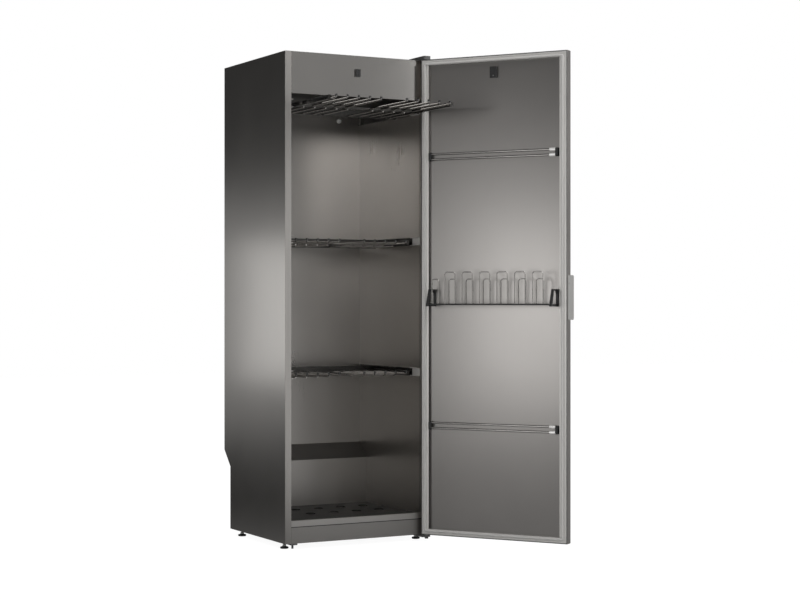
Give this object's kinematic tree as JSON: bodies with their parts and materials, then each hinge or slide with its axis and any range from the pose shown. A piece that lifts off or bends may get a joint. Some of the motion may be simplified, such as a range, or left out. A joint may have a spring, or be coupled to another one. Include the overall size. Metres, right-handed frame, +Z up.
{
  "type": "drying cabinet",
  "caption": "Tall free-standing clothes drying cabinet with an insulated full-height door, telescopic hanging racks, hanging rails and a glove rack.",
  "frame": {"origin": "centre of the body's footprint (595 x 567 mm, without the door) on the floor the feet stand on", "axes": "+Z up, -Y to the front where the opening is, +X to the right seen from the front, the hinge side"},
  "size_m": [0.9432, 1.0884, 1.861],
  "materials": {
    "brushed_case": "warm grey brushed sheet",
    "liner_steel": "warm grey satin sheet",
    "dark_sheet": "dark satin sheet",
    "zinc_sheet": "zinc-coated sheet",
    "bright_trim": "bright satin",
    "door_trim": "light satin frame",
    "insulation": "mineral board",
    "heater_steel": "heat-toned tube",
    "motor_case": "black satin",
    "impeller_alloy": "pressed sheet",
    "white_plastic": "light plastic",
    "black_plastic": "black plastic",
    "hinge_steel": "dark painted steel",
    "slide_steel": "dark satin steel",
    "rod_steel": "dark coated wire",
    "screw_steel": "bright zinc",
    "gasket_rubber": "grey rubber",
    "handle_alloy": "satin aluminium",
    "bush_plastic": "light bearing plastic",
    "black_gloss": "black gloss",
    "display_glass": "smoked window",
    "button_plastic": "dark grey key"
  },
  "bodies": {
    "cabinet": {"left_side_panel": "brushed_case", "right_side_panel": "brushed_case", "rear_panel": "zinc_sheet", "top_panel": "brushed_case", "base_pan": "zinc_sheet", "fascia": "brushed_case", "plinth": "brushed_case", "sill_strip": "bright_trim", "liner_left": "liner_steel", "liner_right": "liner_steel", "liner_back": "liner_steel", "liner_ceiling": "liner_steel", "insulation_boards": "insulation", "floor_plate": "dark_sheet", "heater": "heater_steel", "fan_housing": "zinc_sheet", "fan_motor": "motor_case", "exhaust_collar": "zinc_sheet", "control_box": "white_plastic", "air_duct": "zinc_sheet", "air_sensor": "white_plastic", "cabinet_contact": "black_plastic", "levelling_feet": "black_plastic", "top_hinge": "hinge_steel", "bottom_hinge": "hinge_steel", "wall_rails": "slide_steel", "rail_brackets": "bright_trim", "cabinet_screws": "screw_steel", "cable_gland": "black_plastic"},
    "fan": {"fan_impeller": "impeller_alloy"},
    "top_carriage_body": {"top_carriage": "slide_steel", "top_carriage_rods": "rod_steel"},
    "top_rack_body": {"top_rack_frame": "slide_steel", "top_rack_rods": "rod_steel"},
    "middle_carriage_body": {"middle_carriage": "slide_steel", "middle_carriage_rods": "rod_steel"},
    "middle_rack_body": {"middle_rack_frame": "slide_steel", "middle_rack_rods": "rod_steel"},
    "bottom_carriage_body": {"bottom_carriage": "slide_steel", "bottom_carriage_rods": "rod_steel"},
    "bottom_rack_body": {"bottom_rack_frame": "slide_steel", "bottom_rack_rods": "rod_steel"},
    "door": {"door_skin": "brushed_case", "door_insulation": "insulation", "door_frame": "door_trim", "door_gasket": "gasket_rubber", "door_liner": "liner_steel", "door_handle": "handle_alloy", "door_screws": "screw_steel", "hinge_bushes": "bush_plastic", "control_panel": "black_gloss", "display_window": "display_glass", "door_contact": "black_plastic", "door_rails": "bright_trim", "rail_ends": "black_plastic", "glove_rack": "bright_trim", "glove_ends": "black_plastic"},
    "power_key": {"power_button": "button_plastic"},
    "program_key": {"program_button": "button_plastic"},
    "start_key": {"start_button": "button_plastic"}
  },
  "joints": [
    {"name": "door_hinge", "type": "hinge", "parent": "cabinet", "child": "door", "pos_m": [0.2833, -0.3068, 0], "axis": [0, 0, 1], "range_deg": [-124, 0]},
    {"name": "fan_spin", "type": "hinge", "parent": "cabinet", "child": "fan", "pos_m": [0, -0.0335, 1.7], "axis": [0, 0, 1], "continuous": true},
    {"name": "top_carriage_slide", "type": "slide", "parent": "cabinet", "child": "top_carriage_body", "axis": [0, -1, 0], "range_m": [-0.2832, 0.0001]},
    {"name": "top_rack_slide", "type": "slide", "parent": "top_carriage_body", "child": "top_rack_body", "axis": [0, -1, 0], "range_m": [-0.1622, 0.0001]},
    {"name": "middle_rack_slide", "type": "slide", "parent": "middle_carriage_body", "child": "middle_rack_body", "axis": [0, -1, 0], "range_m": [0, 0.1665]},
    {"name": "middle_carriage_slide", "type": "slide", "parent": "cabinet", "child": "middle_carriage_body", "axis": [0, -1, 0], "range_m": [0, 0.1665]},
    {"name": "bottom_rack_slide", "type": "slide", "parent": "bottom_carriage_body", "child": "bottom_rack_body", "axis": [0, -1, 0], "range_m": [0, 0.1665]},
    {"name": "bottom_carriage_slide", "type": "slide", "parent": "cabinet", "child": "bottom_carriage_body", "axis": [0, -1, 0], "range_m": [0, 0.1665]},
    {"name": "power_press", "type": "slide", "parent": "door", "child": "power_key", "axis": [-0.829, -0.5592, 0], "range_m": [0, 0.0012], "stiffness_N_per_m": 800},
    {"name": "program_press", "type": "slide", "parent": "door", "child": "program_key", "axis": [-0.829, -0.5592, 0], "range_m": [0, 0.0012], "stiffness_N_per_m": 800},
    {"name": "start_press", "type": "slide", "parent": "door", "child": "start_key", "axis": [-0.829, -0.5592, 0], "range_m": [0, 0.0012], "stiffness_N_per_m": 800}
  ],
  "couplings": [
    {"joint": "top_carriage_slide", "follows": "door_hinge", "m_per_rad": 0.13076},
    {"joint": "top_rack_slide", "follows": "door_hinge", "m_per_rad": 0.074854},
    {"joint": "middle_carriage_slide", "follows": "middle_rack_slide", "ratio": 1},
    {"joint": "bottom_carriage_slide", "follows": "bottom_rack_slide", "ratio": 1}
  ]
}
